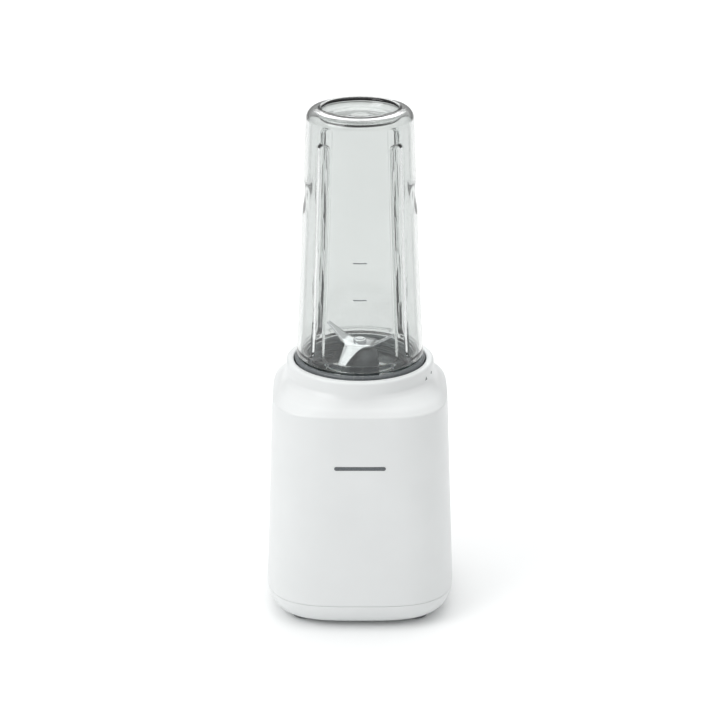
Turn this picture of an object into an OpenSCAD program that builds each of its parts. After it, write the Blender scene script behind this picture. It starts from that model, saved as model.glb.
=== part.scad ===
// Compact countertop blender: white motor base, clear inverted bottle, twist-lock cutter base.
// Millimetres, +Z up, origin on the worktop under the middle of the base.

/* [Housing] */
// Width and depth of the base at its widest, at the parting line
body_w = 125; // [120:1:130]
// Width of the base at the shoulder crease
body_top_w = 114.6; // [112:0.5:118]
// Height of the parting line between housing and base cover
part_z = 18.5; // [17:0.5:20]
// Height of the crease where the walls turn into the shoulder
crease_z = 150.4; // [149:0.2:152]
// Squareness of the plan outline: 2 is a circle, larger is squarer
plan_n = 3.4; // [3:0.1:4]
// Wall thickness of the moulded shells
shell_t = 2.6; // [2.2:0.1:2.8]
// Outer radius of the collar round the bottle
collar_r = 48.4; // [48:0.2:49]
// Height of the collar's rounded top
collar_z = 170; // [169:0.5:171]

/* [Bottle] */
// Outer radius just above the bottle's shoulder
bottle_low_r = 41.5; // [41:0.1:41.6]
// Outer radius where the walls meet the rounded end
bottle_high_r = 34.2; // [33:0.1:36]
// Height of the standing ring, the highest point
bottle_top = 337.4; // [330:0.1:345]
// Wall thickness of the bottle
bottle_t = 2.2; // [1.8:0.1:2.4]
// Width of the four vertical ribs inside
rib_w = 6.4; // [5:0.2:8]
// Depth of the four vertical ribs inside
rib_depth = 4; // [3:0.5:4]

/* [Thread] */
// Axial distance between neighbouring thread ridges
pitch = 4.5; // [4.4:0.1:5]
// Number of thread starts
starts = 3; // [3]

/* [Cutter] */
// Radius of the blade tips
blade_r = 24.5; // [22:0.5:26]
// Turn of the blade about its shaft at rest
blade_turn = -23.5; // [-45:0.5:45]
// Angle by which the blade arms are bent up or down
blade_bend = 33; // [25:1:35]

/* [Lock] */
// Turn of the cutter base from placed to locked
lock_turn = 20; // [18:1:20]
// Travel of the safety switch rods
rod_travel = 3; // [3]

/* [Motor] */
// Outer radius of the stator stack
stator_r = 34; // [33:0.5:35]
// Length of the stator and armature stacks
stack_h = 28; // [24:1:28]
// Radius of the motor shaft
shaft_r = 4; // [4]

/* [Hidden] */
$fn = 64;

WHITE = "#f4f6f6";
GREY = "#6b6f71";
STEEL = "#c9cccf";
RUBBER = "#3b3d3f";
PLAN_POINTS = 72;

half_w = body_w / 2;
half_top = body_top_w / 2;
floor_z = 2.5;              // underside of the base cover, the height of the feet
floor_t = 2.5;
bottom_inset = 13.5;        // how far the base cover rounds in at its foot
well_r = 43.3;              // inside of the coupling well
well_wall = 2;
well_top = 165.5;
well_floor = 127.8;
well_floor_t = 2.5;
ring_z = 131;               // underside of the lock ring
ring_r = 43;
cutter_wall_r = 40.5;
cutter_rim_r = 42.6;
cutter_floor = 151;
thread_wall_r = 39;         // inside of the cutter base's threaded wall
neck_r = 37.2;              // outside of the bottle's neck between the threads
neck_in_r = 35;
mouth_z = 153.3;
shoulder_z = 176.5;
boss_r = 12.5;
blade_z = 179.3;            // underside of the blade's centre
blade_t = 1.5;
lug_at = [0, 120, 240];     // where the cutter base's three lugs stand
rod_x = 36;                 // the switch rods stand left and right of the shaft
stack_z = 60;               // underside of the stator stack
bolt_y = 36;                // the motor bolts stand in front of and behind the shaft
screw_xy = 37;              // base screws and feet, from the middle in x and y
mount_xy = 26;              // motor mounts, from the middle in x and y
well_screw_at = 50;         // screws that hold the coupling well up, from the shaft
inlet_z = 30;               // height of the cord inlet
blade_shaft_r = 3;
ridge_z = [158.4, 169];     // lowest and highest middle of a thread ridge
coil_at = [-57, 43];        // where a coil's two long sides stand, from its own pole
quarters = [0, 90, 180, 270];
lead = pitch * starts;
wall_slope = (half_w - half_top) / (crease_z - part_z);

// ---- shared shapes ----

// One level of the body's rounded-square outline; n = 2 makes it a circle.
function plan_ring(a, n, z) = [for (i = [0:PLAN_POINTS - 1])
    let (t = 360 * i / PLAN_POINTS, c = cos(t), s = sin(t))
    [a * sign(c) * pow(abs(c), 2 / n), a * sign(s) * pow(abs(s), 2 / n), z]];

// Skins a closed loop of levels, each [half width, squareness, height]; the loop
// goes up the outside and comes back down the inside.
module ring_shell(levels, capped = false) {
    m = len(levels);
    last = capped ? m - 2 : m - 1;
    points = [for (l = levels) each plan_ring(l[0], l[1], l[2])];
    walls = [for (j = [0:last]) for (i = [0:PLAN_POINTS - 1])
        let (k = (i + 1) % PLAN_POINTS, up = ((j + 1) % m) * PLAN_POINTS, at = j * PLAN_POINTS)
        each [[at + i, up + i, up + k], [at + i, up + k, at + k]]];
    caps = capped ? [[for (i = [0:PLAN_POINTS - 1]) i],
        [for (i = [PLAN_POINTS - 1:-1:0]) (m - 1) * PLAN_POINTS + i]] : [];
    polyhedron(points, concat(walls, caps), convexity = 6);
}

// Points of an arc in an outline, from angle a0 to a1.
function arc(x, y, r, a0, a1, steps = 6) =
    [for (i = [0:steps]) let (a = a0 + (a1 - a0) * i / steps) [x + r * cos(a), y + r * sin(a)]];

// Part of a ring between two radii and two heights, from angle a0 over da degrees.
module sector(r0, r1, z0, z1, a0, da) {
    rotate([0, 0, a0]) rotate_extrude(angle = da) translate([r0, z0]) square([r1 - r0, z1 - z0]);
}

module tube(r0, r1, z0, z1) {
    rotate_extrude() translate([r0, z0]) square([r1 - r0, z1 - z0]);
}

module disc(r, z0, z1) {
    translate([0, 0, z0]) cylinder(r = r, h = z1 - z0);
}

// Places its children left and right, or at the four corners.
module both(x) { for (s = [-1, 1]) translate([s * x, 0, 0]) children(); }
module corners(d) { for (x = [-d, d], y = [-d, d]) translate([x, y, 0]) children(); }

// Ridges of a screw thread between two heights, rising counter-clockwise.
module thread(root_r, crest_r, z0, z1) {
    outward = crest_r > root_r;
    per_turn = 36;
    turns = (z1 - z0) / lead;
    steps = ceil(turns * per_turn);
    for (start = [0:starts - 1]) {
        points = [for (i = [0:steps])
            let (a = 360 * (start / starts + turns * i / steps), z = z0 + (z1 - z0) * i / steps)
            for (p = [[root_r, -1], [crest_r, -0.45], [crest_r, 0.45], [root_r, 1]])
                [p[0] * cos(a), p[0] * sin(a), z + p[1]]];
        sides = [for (i = [0:steps - 1]) for (k = [0:3])
            let (a = 4 * i + k, b = 4 * i + (k + 1) % 4)
            each [[a, b, b + 4], [a, b + 4, a + 4]]];
        ends = [[3, 2, 1, 0], [for (k = [0:3]) 4 * steps + k]];
        faces = concat(sides, ends);
        polyhedron(points, outward ? faces : [for (f = faces) [for (k = [len(f) - 1:-1:0]) f[k]]]);
    }
}

// ---- casing ----

// Half width of the body's wall at a height.
function wall_a(z) = half_w - wall_slope * (z - part_z);

module main_housing() {
    outside = [
        for (z = [part_z, 50, 85, 120]) [wall_a(z), plan_n, z],
        for (a = [0, 30, 60]) [wall_a(crease_z - 2) - 2 * (1 - cos(a)), plan_n, crease_z - 2 + 2 * sin(a)],
        [54.2, 3.1, 153.2], [51.4, 2.6, 156.6], [50, 2.2, 158.6], [49, 2, 160.6], [collar_r, 2, 163],
        for (a = [0, 45, 90]) [collar_r - 2 + 2 * cos(a), 2, collar_z - 2 + 2 * sin(a)],
        for (a = [90, 135, 180]) [well_r + 1 + cos(a), 2, collar_z - 1 + sin(a)]];
    inside = [[well_r, 2, well_top + 0.5], [well_r + well_wall + 0.4, 2, well_top + 0.5],
        [well_r + well_wall + 0.4, 2, 159], [48.2, 2.3, 155], [51.6, 3, 150.6],
        for (z = [146, 110, 60, part_z]) [wall_a(z) - shell_t, plan_n, z]];
    color(WHITE) difference() {
        union() {
            ring_shell(concat(outside, inside));
            corners(screw_xy) tube(2.1, 4.4, 21, 152.2);
            for (a = quarters) rotate([0, 0, a]) translate([well_screw_at, 0, 0]) tube(1.6, 3.2, 141, 153.6);
        }
        translate([0, half_w + 1, inlet_z]) rotate([90, 0, 0]) cylinder(r = 7, h = 10);
    }
}

module base_cover() {
    low_a = half_w - bottom_inset;
    rise = part_z - floor_z - 0.3;
    outside = [for (k = [0:7]) let (a = k * 90 / 7)
        [low_a + bottom_inset * sin(a), plan_n, floor_z + rise * (1 - cos(a))]];
    inside = [for (k = [7:-1:0]) let (a = k * 90 / 7)
        [low_a + (bottom_inset - shell_t) * sin(a), plan_n,
            floor_z + floor_t + (rise - floor_t) * (1 - cos(a))]];
    color(WHITE) difference() {
        union() {
            ring_shell(concat(outside, inside), capped = true);
            corners(screw_xy) disc(7, floor_z + 1, 20.6);
            both(25) translate([-2, 42, floor_z + 1]) cube([4, 9, 20]);
        }
        corners(screw_xy) {
            disc(5.2, 0, 9);
            disc(2.3, 0, 25);
        }
        translate([-24.4, 45.7, 8]) cube([48.8, 2, 30]);
        for (x = [-20:5:20]) translate([x - 1.1, -16, 0]) cube([2.2, 32, 10]);
    }
}

module foot(x, y) {
    color("#8f9294") translate([x, y, 0]) rotate_extrude()
        polygon([[0, 0], [7.2, 0], [8, 0.8], [8, floor_z], [5, floor_z], [5, 4.8], [0, 4.8]]);
}

// The sleeve's flange sits inside the wall and its mouth stops just short of the back face.
module cord_gland() {
    color(GREY) translate([0, 0, inlet_z]) rotate([-90, 0, 0]) rotate_extrude()
        polygon([[3.6, 50], [6, 50], [6, 55.8], [9.5, 55.8], [9.5, 58.6], [6.8, 58.6], [6.8, 61.4],
            [3.6, 61.4]]);
}

// ---- coupling and lock ----

module coupling_well() {
    color(GREY) difference() {
        union() {
            tube(well_r, well_r + well_wall, well_floor, well_top);
            disc(well_r + 0.5, well_floor, well_floor + well_floor_t);
            for (a = quarters) rotate([0, 0, a]) translate([well_r + 0.5, -4, 136.5]) cube([9.7, 8, 4]);
            for (c = lug_at) {
                sector(41.3, well_r + 0.5, 153.4, 156.4, c - 53, 36);
                sector(41.6, well_r + 0.6, 148.5, 155.4, c - 40, 4);
                sector(41.3, well_r + 0.5, 148.5, 156.4, c + 16, 4);
            }
            corners(mount_xy) disc(5, 114.2, well_floor + 1);
            both(rod_x) {
                for (y = [-9, 9]) translate([-3, y - 2, 90]) cube([6, 4, well_floor + 1 - 90]);
                translate([-3, -9, 106]) cube([6, 18, 2]);
            }
            disc(14, 122, well_floor + 1);
        }
        disc(11, 120, 135);
        both(rod_x) disc(2.2, 100, 135);
        for (a = quarters) rotate([0, 0, a]) translate([well_screw_at, 0, 0]) disc(1.9, 130, 145);
        corners(mount_xy) disc(2.05, 112, 126);
    }
}

// The ring turns with the cutter base and its two ramps press the switch rods down.
module lock_ring() {
    ramp_run = rod_x * sin(lock_turn);
    color("#4d5153") difference() {
        union() {
            tube(31, ring_r, ring_z, ring_z + 3.9);
            tube(41, ring_r, ring_z, ring_z + 9.5);
        }
        for (c = lug_at) sector(40, ring_r + 1, ring_z + 3.9, ring_z + 12, c - 6, 12);
        for (a = [0, 180]) rotate([0, 0, a]) translate([32.2, 0, 0]) rotate([90, 0, 90]) linear_extrude(6.6)
            polygon([[-3, ring_z - 1], [ramp_run + 0.2, ring_z - 1], [ramp_run + 0.2, ring_z],
                [0, ring_z + rod_travel + 0.05], [-3, ring_z + rod_travel + 0.05]]);
    }
}

module well_seal() {
    color(RUBBER) rotate_extrude()
        polygon([[4.05, 127], [6, 127], [10.9, 123], [10.9, 130.2], [8, 130.2], [8, 128.4], [4.05, 128.4]]);
}

// ---- cutter unit ----

module cutter_base() {
    color(GREY) union() {
        difference() {
            rotate_extrude() polygon(concat(
                [[5.5, 144], [13, 144], [13, 148], [38.2, 148], [38.2, 135.5], [cutter_wall_r, 135.5],
                    [cutter_wall_r, 158.5], [cutter_rim_r, 160.6]],
                arc(cutter_rim_r - 1.8, 170, 1.8, 0, 180, 8),
                [[thread_wall_r, cutter_floor], [boss_r, cutter_floor], [boss_r, 171], [8.6, 178.3],
                    [6.1, 178.3], [6.1, 172], [5.5, 172]]));
            for (c = lug_at) sector(cutter_wall_r - 0.7, 45, 141.5, 147, c + 40, 40);
        }
        for (c = lug_at) {
            sector(cutter_wall_r - 0.5, 42.8, 150, 153, c - 15, 30);
            sector(cutter_wall_r - 0.5, 42.3, 136.2, 140, c - 5, 10);
        }
        thread(thread_wall_r + 0.3, thread_wall_r - 1.2, ridge_z[0], ridge_z[1]);
    }
}

module bottle_seal() {
    color("#d9dcdd") tube(32.6, neck_r, cutter_floor + 0.1, mouth_z - 0.1);
}

function bottle_r(z) = bottle_low_r - (bottle_low_r - bottle_high_r) * pow((z - 175) / 154.4, 0.85);

module bottle() {
    end_r = 8;
    ring_at = bottle_high_r - end_r;
    levels = [for (z = [190:20:310]) z];
    outside = concat(
        [[0, mouth_z], [neck_r, mouth_z], [neck_r, 173.4], [40.6, 173.4], [41.5, 174.4]],
        [for (z = concat([177], levels)) [bottle_r(z), z]],
        arc(ring_at, bottle_top - end_r, end_r, 0, 90, 8),
        arc(ring_at, bottle_top - 2, 2, 120, 180, 3),
        [[ring_at - 3.4, 332.6], [20.6, 331.4], [0, 331.4]]);
    cavity = concat(
        [[0, shoulder_z], [bottle_r(shoulder_z) - bottle_t, shoulder_z]],
        [for (z = levels) [bottle_r(z) - bottle_t, z]],
        arc(ring_at - 0.2, bottle_top - end_r - 1.6, end_r - 2, 0, 90, 6),
        [[ring_at - 5, 329.6], [0, 329]]);
    rib = concat(
        [for (z = concat([170], levels, [318])) [bottle_r(max(z, shoulder_z)) - bottle_t - rib_depth, z]],
        [[60, 318], [60, 170]]);
    color("#dfe6e8", 0.35) union() {
        difference() {
            rotate_extrude() polygon(outside);
            disc(neck_in_r, mouth_z - 1, shoulder_z + 0.1);
            difference() {
                rotate_extrude() polygon(cavity);
                intersection() {
                    rotate_extrude() polygon(rib);
                    for (a = [45, 135]) rotate([0, 0, a])
                        translate([-60, -rib_w / 2, 160]) cube([120, rib_w, 170]);
                }
            }
        }
        thread(neck_r - 0.3, neck_r + 1.2, ridge_z[0] + pitch / 2, ridge_z[1]);
    }
}

// One pressed arm: straight leading edge, hollowed trailing edge, bent at its root.
module blade_arm(turn, bend, tip_w, hollow) {
    root = 7;
    long = (blade_r - root) / cos(bend);
    rotate([0, 0, turn]) translate([root, 0, blade_z]) rotate([0, -bend, 0]) linear_extrude(blade_t)
        polygon(concat([[-0.4, -root], [long, -root + 2], [long, -root + 2 + tip_w]],
            [for (k = [1:5]) let (u = k / 6)
                [long * (1 - u), -root + 2 + tip_w + (2 * root - 2 - tip_w) * pow(u, hollow)]],
            [[-0.4, root]]));
}

module blade() {
    color(STEEL) rotate([0, 0, blade_turn]) difference() {
        union() {
            translate([-7.5, -7.5, blade_z]) cube([15, 15, blade_t]);
            blade_arm(0, blade_bend, 3, 1.6);
            blade_arm(180, blade_bend, 3, 1.6);
            blade_arm(90, -blade_bend, 5, 1.6);
            blade_arm(270, -blade_bend, 5, 1.6);
        }
        disc(blade_shaft_r, blade_z - 5, blade_z + 5);
    }
}

module blade_shaft() {
    color(STEEL) union() {
        disc(blade_shaft_r, 136.6, 182);
        disc(4.6, 143.3, 143.7);
    }
}

module blade_nut() {
    color(STEEL) difference() {
        rotate_extrude() polygon([[0, blade_z + blade_t], [4.3, blade_z + blade_t], [4.3, 182.2],
            [3.7, 182.8], [0, 182.8]]);
        disc(blade_shaft_r, 170, 182);
    }
}

module blade_washer() { color(STEEL) tube(blade_shaft_r, 5.4, 178.7, blade_z); }
module upper_bush() { color("#b08d57") tube(blade_shaft_r + 0.05, 5.5, 163, 171.9); }
module lower_bush() { color("#b08d57") tube(blade_shaft_r + 0.05, 5.5, 144, 153); }
module blade_shaft_seal() { color(RUBBER) tube(blade_shaft_r + 0.05, 6.1, 172.1, 178); }

// Six lugs stand up from the motor's half and six hang down from the blade's half.
module driven_coupler() {
    color(RUBBER) union() {
        rotate_extrude() polygon([[blade_shaft_r, 137.4], [6, 137.4], [6, 140.4], [14.6, 140.4],
            [14.6, 143.2], [blade_shaft_r, 143.2]]);
        for (a = [0:60:300]) sector(9, 14.3, 135.4, 141, a + 24, 14);
    }
}

module drive_coupler() {
    color("#e8e9e6") union() {
        tube(shaft_r, 14.6, 131.6, 134.6);
        for (a = [0:60:300]) sector(9, 14.3, 134, 139.8, a - 15, 14);
    }
}

// ---- motor ----

module motor_shaft() { color(STEEL) disc(shaft_r, 20, 134.5); }
module armature_core() { color("#85888b") tube(shaft_r, 19, stack_z, stack_z + stack_h); }

module armature_winding() {
    color("#b5651d") {
        tube(shaft_r + 1, 15.5, stack_z - 8, stack_z);
        tube(shaft_r + 1, 15.5, stack_z + stack_h, stack_z + stack_h + 8);
    }
}

module commutator() { color("#b87333") tube(shaft_r, 12, 35.5, 50.5); }

module fan() {
    color("#e3e4e2") union() {
        tube(shaft_r, 8, 97.5, 106);
        tube(shaft_r, 28, 98.2, 99.6);
        for (a = [0:40:320]) rotate([0, 0, a]) translate([7, -0.8, 99]) cube([20.8, 1.6, 7]);
    }
}

module stator_core() {
    top = stack_z + stack_h;
    color("#9a9da0") difference() {
        union() {
            disc(stator_r, stack_z, top);
            for (y = [-bolt_y, bolt_y]) translate([0, y, 0]) disc(5, stack_z, top);
        }
        disc(19.6, 0, 200);
        for (pole = [0, 180], a = coil_at) sector(21.6, 30.4, stack_z - 1, top + 1, pole + a - 0.5, 15);
        for (y = [-bolt_y, bolt_y]) translate([0, y, 0]) disc(2.3, 0, 200);
    }
}

module field_coil(pole) {
    top = stack_z + stack_h;
    color("#b5651d") difference() {
        sector(22, 30, stack_z - 8, top + 8, pole + coil_at[0], 114);
        sector(21, 31, stack_z - 0.4, top + 0.4, pole + coil_at[0] + 14, 86);
    }
}

module upper_bracket() {
    color(STEEL) difference() {
        union() {
            disc(16, 108, 118);
            for (a = [45, 135]) rotate([0, 0, a]) translate([-36.8, -8, 108]) cube([73.6, 16, 3]);
            corners(mount_xy) disc(8.6, 108, 111);
            translate([-5, -36, 108]) cube([10, 72, 3]);
            for (y = [-bolt_y, bolt_y]) translate([0, y, 0]) disc(5, stack_z + stack_h, 111);
        }
        disc(11, 107, 117);
        disc(6, 100, 120);
        corners(mount_xy) disc(5, 100, 120);
        for (y = [-bolt_y, bolt_y]) translate([0, y, 0]) disc(2.3, 0, 200);
    }
}

module lower_bracket() {
    color(STEEL) difference() {
        union() {
            disc(14, 22, 34);
            translate([-34, -8, 31]) cube([68, 16, 3]);
            translate([-6, -36, 31]) cube([12, 72, 3]);
            both(24) translate([-6, -6, 33]) cube([12, 12, 6]);
            for (y = [-bolt_y, bolt_y]) translate([0, y, 0]) disc(5, 31, stack_z);
        }
        disc(11, 24, 40);
        disc(6, 0, 30);
        for (y = [-bolt_y, bolt_y]) translate([0, y, 0]) disc(2.3, 0, 200);
    }
}

module bearing(z) { color("#aeb2b5") tube(shaft_r + 0.05, 11, z, z + 7); }

module brush_holder(s) {
    color("#c8a24a") difference() {
        translate([min(s * 14.5, s * 35), -5, 39]) cube([20.5, 10, 8]);
        translate([min(s * 10, s * 33.5), -3.1, 40.4]) cube([23.5, 6.2, 5.2]);
    }
}

module brush(s) {
    color("#2c2c2e") difference() {
        translate([min(s * 11, s * 24), -3, 40.5]) cube([13, 6, 5]);
        disc(12.4, 30, 60);
    }
}

module brush_spring(s) {
    color(STEEL) translate([s * 24, 0, 43]) rotate([0, s * 90, 0])
        rotate_extrude() translate([1.4, 0]) square([0.9, 9.5]);
}

module mount_grommets() {
    color(RUBBER) corners(mount_xy) rotate_extrude()
        polygon([[2.4, 105], [8, 105], [8, 108], [5, 108], [5, 111], [8, 111], [8, 114.1], [2.4, 114.1]]);
}

// ---- safety switches ----

module switch_rod(s) {
    color("#e8e9e6") translate([s * rod_x, 0, 0]) union() {
        disc(1.9, 104.8, 131.7);
        translate([0, 0, 131.7]) sphere(r = 1.9);
        disc(3.4, 117.1, 119);
    }
}

module rod_spring(s) { color(STEEL) translate([s * rod_x, 0, 0]) tube(2.3, 3.1, 108.1, 117); }

module limit_switch(s) {
    color("#26282a") translate([s * rod_x, 0, 0]) union() {
        translate([-3.2, -6.8, 90]) cube([6.4, 13.6, 10]);
        disc(1.4, 99.9, 101.5);
        for (y = [-4, 0, 4]) translate([-0.4, y - 1, 86]) cube([0.8, 2, 4.5]);
    }
}

// ---- electrics ----

module circuit_board() { color("#3f6b4a") translate([-24, 45.9, 8.3]) cube([48, 1.6, 50]); }

module suppressor_capacitor() {
    color("#c9a227") translate([-20, 47.6, 36]) cube([18, 7, 14]);
}

module terminal_block() {
    color("#e9e7df") difference() {
        translate([4, 47.6, 40]) cube([18, 8, 11]);
        for (x = [8.5, 17.5]) translate([x, 49, 45.5]) rotate([-90, 0, 0]) cylinder(r = 1.6, h = 10);
    }
}

// ---- fasteners ----

// Pan-head screw pointing up, its head under z.
module screw(z, shank_r, length, head_r) {
    color(STEEL) difference() {
        union() {
            disc(shank_r, z - 1, z + length);
            disc(head_r, z - 2.2, z - 0.05);
        }
        for (a = [0, 90]) rotate([0, 0, a])
            translate([-head_r * 0.6, -0.4, z - 3]) cube([head_r * 1.2, 0.8, 1.8]);
    }
}

module base_screws() { corners(screw_xy) screw(9, 2.05, 26, 4); }
module well_screws() {
    for (a = quarters) rotate([0, 0, a]) translate([well_screw_at, 0, 0]) screw(136.5, 1.55, 14, 3);
}
module motor_bolts() { for (y = [-bolt_y, bolt_y]) translate([0, y, 0]) screw(31, 2.25, 79, 4.2); }
module mount_screws() { corners(mount_xy) screw(105, 2, 17, 4.5); }

// ---- output ----

main_housing();
base_cover();
foot(-screw_xy, -screw_xy);  // foot_front_left
foot(screw_xy, -screw_xy);  // foot_front_right
foot(-screw_xy, screw_xy);  // foot_rear_left
foot(screw_xy, screw_xy);  // foot_rear_right
cord_gland();
coupling_well();
lock_ring();
cutter_base();
bottle();
bottle_seal();
blade();
blade_nut();
blade_washer();
blade_shaft();
upper_bush();
lower_bush();
blade_shaft_seal();
driven_coupler();
drive_coupler();
well_seal();
motor_shaft();
armature_core();
armature_winding();
commutator();
fan();
stator_core();
field_coil(180);  // field_coil_left
field_coil(0);  // field_coil_right
upper_bracket();
lower_bracket();
bearing(110);  // upper_bearing
bearing(24);  // lower_bearing
brush(-1);  // brush_left
brush(1);  // brush_right
brush_holder(-1);  // brush_holder_left
brush_holder(1);  // brush_holder_right
brush_spring(-1);  // brush_spring_left
brush_spring(1);  // brush_spring_right
mount_grommets();
switch_rod(-1);  // switch_rod_left
switch_rod(1);  // switch_rod_right
rod_spring(-1);  // rod_spring_left
rod_spring(1);  // rod_spring_right
limit_switch(-1);  // switch_left
limit_switch(1);  // switch_right
circuit_board();
suppressor_capacitor();
terminal_block();
base_screws();
well_screws();
motor_bolts();
mount_screws();
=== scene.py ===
import math

import bpy
from mathutils import Matrix, Vector


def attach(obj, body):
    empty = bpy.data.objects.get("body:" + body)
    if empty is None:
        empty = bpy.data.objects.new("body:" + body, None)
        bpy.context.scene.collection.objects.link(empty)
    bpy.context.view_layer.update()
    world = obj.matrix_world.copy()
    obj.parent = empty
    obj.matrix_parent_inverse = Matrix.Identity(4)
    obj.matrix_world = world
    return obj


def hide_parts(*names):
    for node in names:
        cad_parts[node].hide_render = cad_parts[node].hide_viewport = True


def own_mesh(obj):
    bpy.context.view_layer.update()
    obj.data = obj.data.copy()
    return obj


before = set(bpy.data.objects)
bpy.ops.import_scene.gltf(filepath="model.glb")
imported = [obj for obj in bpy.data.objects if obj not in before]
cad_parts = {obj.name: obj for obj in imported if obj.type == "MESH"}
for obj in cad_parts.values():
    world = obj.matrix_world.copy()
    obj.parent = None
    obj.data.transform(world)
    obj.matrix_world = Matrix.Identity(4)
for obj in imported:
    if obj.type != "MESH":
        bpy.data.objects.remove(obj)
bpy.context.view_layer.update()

# ---------------------------------------------------------------------------
# Studio: a wide white paper floor, a surround that is white above and dimmer low
# down, so that clear plastic shows its edges, and a large softbox on the left.
# ---------------------------------------------------------------------------


def linear(hex_colour):
    """An sRGB hex colour as linear red, green, blue and alpha."""
    parts = [int(hex_colour[i : i + 2], 16) / 255 for i in (1, 3, 5)]
    return [c / 12.92 if c < 0.04045 else ((c + 0.055) / 1.055) ** 2.4 for c in parts] + [1]


def put(tree, kind, settings=None, stops=(), **inputs):
    """Adds a node: settings are its properties, stops the (place, grey or colour) stops of a colour ramp,
    and inputs its sockets, each a value or an output."""
    made = tree.nodes.new(kind)
    for name, value in (settings or {}).items():
        setattr(made, name, value)
    for _ in range(len(stops) - 2):
        made.color_ramp.elements.new(0.5)
    for number, (at, value) in enumerate(stops):
        made.color_ramp.elements[number].position = at
        made.color_ramp.elements[number].color = value if isinstance(value, list) else [value] * 3 + [1]
    for name, value in inputs.items():
        spaced = name.replace("_", " ")
        socket = made.inputs[int(name[1:])] if name[1:].isdigit() else made.inputs[spaced]
        if isinstance(value, bpy.types.NodeSocket):
            tree.links.new(value, socket)
        else:
            socket.default_value = value
    return made


CAMERA_AT = (0, -1.2277, 0.6337)
CAMERA_TILT = 69.2
CAMERA_LENS = 100
scene = bpy.context.scene
scene.view_settings.view_transform = "Standard"
bpy.ops.object.select_all(action="DESELECT")
bpy.ops.object.camera_add(location=CAMERA_AT, rotation=(math.radians(CAMERA_TILT), 0, 0))
scene.camera = bpy.context.object
scene.camera.data.lens = CAMERA_LENS

# The surround's brightness by height: dim at the horizon, white overhead.
SURROUND = [(0.0, 0.12), (0.08, 0.28), (0.24, 0.40), (0.46, 0.80), (1.0, 1.05)]
scene.world = bpy.data.worlds.new("white surround")
scene.world.use_nodes = True
sky = scene.world.node_tree
direction = put(sky, "ShaderNodeTexCoord").outputs["Generated"]
height = put(sky, "ShaderNodeSeparateXYZ", i0=direction).outputs["Z"]
shade = put(sky, "ShaderNodeValToRGB", stops=SURROUND, i0=height).outputs["Color"]
sky.links.new(shade, sky.nodes["Background"].inputs["Color"])

# Each lamp: where it hangs, how wide it is in metres, its power in watts and where it points.
for name, hung, size, power, aim in (
    ("softbox", (-1.5, -0.9, 1.6), 1.3, 16, (0, 0, 0.15)),
    ("top light", (0.1, 0.4, 2.2), 1.8, 11, (0, 0, 0)),
    ("back light", (0, 2.6, 1.7), 1.6, 11, (0, 1.9, 0)),
):
    bpy.ops.object.light_add(type="AREA", location=hung)
    lamp = bpy.context.object
    lamp.name = name
    lamp.data.size = size
    lamp.data.energy = power
    lamp.rotation_euler = (Vector(aim) - Vector(hung)).to_track_quat("-Z", "Y").to_euler()

bpy.ops.object.select_all(action="DESELECT")
bpy.ops.mesh.primitive_circle_add(vertices=96, radius=9, fill_type="NGON")
floor = bpy.context.object
floor.name = "floor"
paper = bpy.data.materials.new("white paper, matt")
paper.use_nodes = True
paper_shader = paper.node_tree.nodes["Principled BSDF"]
paper_shader.inputs["Base Color"].default_value = linear("#f7f8f8")
paper_shader.inputs["Roughness"].default_value = 0.9
floor.data.materials.append(paper)

# ---------------------------------------------------------------------------
# Main housing: one injection moulding in white ABS. Four flat walls draw in
# towards a soft crease, and the shoulder above it runs up into a round collar.
# ---------------------------------------------------------------------------

MM = 0.001


def name_it(name):
    """Names the primitive just added, puts its place in its mesh and opens it for editing."""
    bpy.ops.object.transform_apply(location=True, rotation=True, scale=True)
    piece = bpy.context.object
    piece.name = piece.data.name = name
    bpy.ops.object.mode_set(mode="EDIT")
    bpy.ops.mesh.select_all(action="SELECT")
    return piece


def pull(outline):
    """Pulls the selected edge loop through (radius, height) points in mm, the first being where it is."""
    for (r0, z0), (r1, z1) in zip(outline, outline[1:]):
        bpy.ops.mesh.extrude_edges_move(TRANSFORM_OT_translate={"value": (0, 0, (z1 - z0) * MM)})
        bpy.ops.transform.resize(value=(r1 / r0, r1 / r0, 1), center_override=(0, 0, z1 * MM))


def close_up(piece, angle=35):
    """Merges doubles, turns faces outwards, leaves edit mode and smooths up to an angle."""
    bpy.ops.mesh.select_all(action="SELECT")
    bpy.ops.mesh.remove_doubles(threshold=0.00001)
    bpy.ops.mesh.normals_make_consistent(inside=False)
    bpy.ops.object.mode_set(mode="OBJECT")
    bpy.ops.object.shade_smooth_by_angle(angle=math.radians(angle))
    return piece


def turned(name, outline, steps):
    """A piece turned about the upright axis from an outline of (radius, height) in mm.
    An outline that ends where it starts is a ring; any other gets a flat cap at each end."""
    bpy.ops.object.select_all(action="DESELECT")
    r, z = outline[0]
    bpy.ops.mesh.primitive_circle_add(vertices=steps, radius=r * MM, location=(0, 0, z * MM))
    piece = name_it(name)
    if outline[0] != outline[-1]:
        bpy.ops.mesh.edge_face_add()
    pull(outline)
    if outline[0] != outline[-1]:
        bpy.ops.mesh.edge_face_add()
    return close_up(piece)


def curve(x, z, r, start, end, steps):
    """Points of an arc in an outline, between two angles in degrees."""
    turns = [math.radians(start + (end - start) * i / steps) for i in range(steps + 1)]
    return [(x + r * math.cos(t), z + r * math.sin(t)) for t in turns]


def apply(piece, kind, **settings):
    """Adds a modifier and applies it."""
    bpy.context.view_layer.objects.active = piece
    modifier = piece.modifiers.new(kind.title(), kind)
    for name, value in settings.items():
        setattr(modifier, name, value)
    bpy.ops.object.modifier_apply(modifier=modifier.name)


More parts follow.
